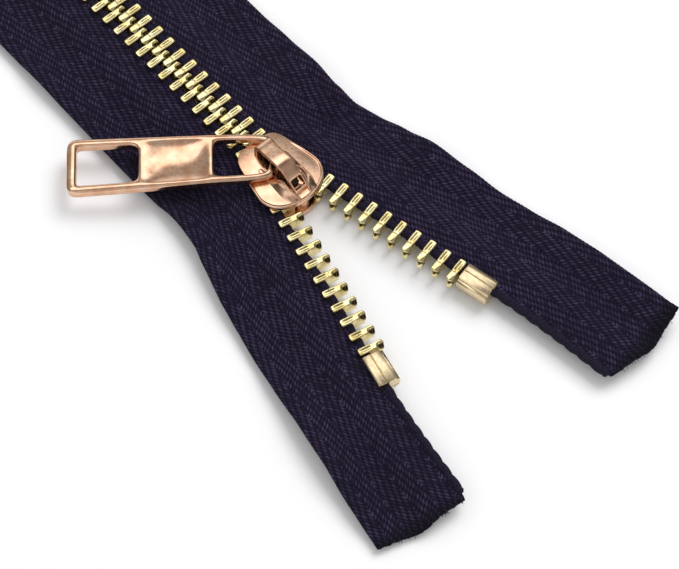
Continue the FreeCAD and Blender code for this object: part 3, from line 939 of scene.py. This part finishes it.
def round_corners(u, v):
    """The tab's four outer corners, and the corners of its two windows."""
    for corner_u, sign_u, radius in ((PULL_LENGTH, 1, 1.5), (LOOP_START, -1, 2.7)):
        for sign_v in (1, -1):
            corner_v = sign_v * pull_edge(u)
            a = 1 - sign_u * (corner_u - u) / radius
            b = 1 - abs(corner_v - v) / radius
            if a > 0 and b > 0:
                shrink = max(a, b) / math.hypot(a, b)
                return (corner_u - sign_u * radius * (1 - a * shrink),
                        corner_v - sign_v * radius * (1 - b * shrink))
    for corner_u, inward, radius in ((LOOP_WINDOW[0], 1, 1.8), (LOOP_WINDOW[1], -1, 0.9),
                                     (END_WINDOW[0], 1, 1.1), (END_WINDOW[1], -1, 1.1)):
        edge = pull_window_edge(corner_u)
        if abs(u - corner_u) < 0.01 and abs(abs(v) - edge) < 0.01:
            return u + inward * 0.29 * radius, v - math.copysign(0.29 * radius, v)
    return u, v


def add_pull():
    us = [LOOP_START, 0.0, LOOP_WINDOW[0], 1.3, 3.4, 5.8, 7.8, LOOP_WINDOW[1], 9.3, 10.4, 12.2, 14.0,
          15.8, 17.2, 18.3, END_WINDOW[0], 20.1, 22.4, 24.8, 27.0, END_WINDOW[1], 28.7, PULL_LENGTH]
    holes = set()
    for i in range(len(us) - 1):
        middle = (us[i] + us[i + 1]) / 2
        if LOOP_WINDOW[0] < middle < LOOP_WINDOW[1] or END_WINDOW[0] < middle < END_WINDOW[1]:
            holes |= {(i, j) for j in range(2, 8)}

    def place(u, v, w):
        return pull_place(*round_corners(u, v), w)
    points, faces = plate_cage(us, pull_lines, pull_half_thickness, holes, place)
    obj = add_object("pull_tab_cast", points, faces, ROSE_GOLD, "pull", levels=3)
    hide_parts("pull_tab")


add_pull()


# ---- CAD nodes that keep their shape ----

# The lock leaf takes the steel that is darkened as painted shade.
for node, material in (("bottom_stop", CHAMPAGNE), ("lock_leaf", LOCK_STEEL_AND_PAINTED_SHADE)):
    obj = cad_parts[node]
    obj.data.materials.clear()
    obj.data.materials.append(material)


# ---- stage, light and camera ----

FLOOR_HALF = 1500
FLOOR_Z = -0.02


def add_floor():
    graph = Graph("white_table")
    graph.shader.inputs["Base Color"].default_value = (0.93, 0.93, 0.94, 1)
    graph.shader.inputs["Roughness"].default_value = 0.55
    graph.shader.inputs["Specular IOR Level"].default_value = 0.2
    corners = [(x * FLOOR_HALF, y * FLOOR_HALF, FLOOR_Z) for x, y in ((-1, -1), (1, -1), (1, 1), (-1, 1))]
    floor = add_object("floor", corners, [[0, 1, 2, 3]], graph.material)
    floor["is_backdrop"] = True


def add_area_light(name, place, target, size, power):
    data = bpy.data.lights.new(name, "AREA")
    data.shape = "RECTANGLE"
    data.size, data.size_y = size
    data.energy = power
    light = bpy.data.objects.new(name, data)
    light.location = place
    light.rotation_euler = (Vector(target) - Vector(place)).to_track_quat("-Z", "Y").to_euler()
    light.visible_glossy = False
    bpy.context.scene.collection.objects.link(light)


SOFTBOX_STRENGTH = 1.45
WALL_STRENGTH = 0.36
BACKDROP_STRENGTH = 0.95
FILL_STRENGTH = 0.72
# (direction, inner and outer angle in degrees, strength) of lighter and darker parts of the room
WALL_PATCHES = (
    ((0.25, -0.85, 0.5), 12, 30, 0.6), ((-0.9, 0.3, 0.3), 8, 26, 0.6),
    ((0.9, 0.35, 0.3), 8, 26, 0.45), ((-0.12, 0.22, 0.97), 2, 12, -0.26),
    ((-0.3, 0.85, 0.55), 10, 38, -0.28), ((-0.8, -0.75, 0.35), 10, 35, -0.26),
    ((0.6, 0.75, 0.5), 8, 30, -0.2), ((0.3, -0.25, 0.92), 8, 26, 0.16),
    ((-0.36, 0.52, 0.78), 5, 20, 0.3), ((-0.24, 0.51, 0.8), 2, 9, 1.0))


def add_world():
    """A studio that metal can mirror: bright overhead, greyer walls, darker low down."""
    world = bpy.data.worlds.new("studio")
    bpy.context.scene.world = world
    world.use_nodes = True
    tree = world.node_tree
    background = tree.nodes["Background"]
    coordinates = tree.nodes.new("ShaderNodeTexCoord")

    def math_node(operation, a, b):
        node = tree.nodes.new("ShaderNodeMath")
        node.operation = operation
        for value, socket in zip((a, b), node.inputs):
            if isinstance(value, bpy.types.NodeSocket):
                tree.links.new(value, socket)
            else:
                socket.default_value = value
        return node.outputs[0]

    def band(value, start, full, strength):
        """Goes smoothly from nothing at start to strength at full."""
        ramp = tree.nodes.new("ShaderNodeMapRange")
        ramp.interpolation_type = "SMOOTHSTEP"
        numbers = (start, full, 0, strength) if start < full else (full, start, strength, 0)
        tree.links.new(value, ramp.inputs[0])
        for number, socket in zip(numbers, ramp.inputs[1:5]):
            socket.default_value = number
        return ramp.outputs[0]

    def lobe(direction, inner, outer, strength):
        """Light of a round patch of wall or ceiling, with soft edges, inner and outer in degrees."""
        dot = tree.nodes.new("ShaderNodeVectorMath")
        dot.operation = "DOT_PRODUCT"
        tree.links.new(coordinates.outputs["Generated"], dot.inputs[0])
        dot.inputs[1].default_value = Vector(direction).normalized()
        start, full = math.cos(math.radians(outer)), math.cos(math.radians(inner))
        return band(dot.outputs["Value"], start, full, strength)

    split = tree.nodes.new("ShaderNodeSeparateXYZ")
    tree.links.new(coordinates.outputs["Generated"], split.inputs[0])
    up = math_node("MAXIMUM", split.outputs[2], 0.05)
    east = math_node("DIVIDE", split.outputs[0], up)
    north = math_node("DIVIDE", split.outputs[1], up)
    softbox = math_node("MULTIPLY", band(east, -0.72, -0.60, 1), band(east, -0.22, -0.30, 1))
    softbox = math_node("MULTIPLY", softbox, band(north, -0.3, -0.14, 1))
    softbox = math_node("MULTIPLY", softbox, band(north, 0.62, 0.48, SOFTBOX_STRENGTH))
    total = math_node("ADD", softbox, WALL_STRENGTH)
    for patch in WALL_PATCHES:
        total = math_node("ADD", lobe(*patch), total)
    rays = tree.nodes.new("ShaderNodeLightPath").outputs
    mirrored = math_node("MULTIPLY", math_node("MAXIMUM", total, 0.03), rays["Is Glossy Ray"])
    seen = math_node("MULTIPLY", rays["Is Camera Ray"], BACKDROP_STRENGTH)
    others = math_node("SUBTRACT", math_node("SUBTRACT", 1.0, rays["Is Glossy Ray"]), rays["Is Camera Ray"])
    soft = math_node("MULTIPLY", others, FILL_STRENGTH)
    strength = math_node("ADD", math_node("ADD", mirrored, seen), soft)
    tree.links.new(strength, background.inputs["Strength"])
    background.inputs["Color"].default_value = (1, 1, 1, 1)


def add_camera():
    """A long lens from the front right, well above."""
    azimuth, elevation = math.radians(48.99), math.radians(62.0)
    back = Vector((math.sin(azimuth) * math.cos(elevation), -math.cos(azimuth) * math.cos(elevation),
                   math.sin(elevation)))
    data = bpy.data.cameras.new("camera")
    data.sensor_width = 36
    data.lens = 159.1
    data.clip_start, data.clip_end = 0.01, 20
    camera = bpy.data.objects.new("camera", data)
    camera.location = Vector((18.44, -5.03, 2.25)) * MM + back * 416.09 * MM
    camera.rotation_mode = "QUATERNION"
    camera.rotation_quaternion = (-back).to_track_quat("-Z", "Y")
    bpy.context.scene.collection.objects.link(camera)
    bpy.context.scene.camera = camera


add_floor()
add_world()
add_area_light("key", (-0.05, 0.45, 0.65), (0, 0, 0), (0.5, 0.5), 3.6)
add_camera()
bpy.context.scene.view_settings.view_transform = "Standard"

boxes = {"cad": cad_box, "visual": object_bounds()}
{name: [list(corner) for corner in box] for name, box in boxes.items()}
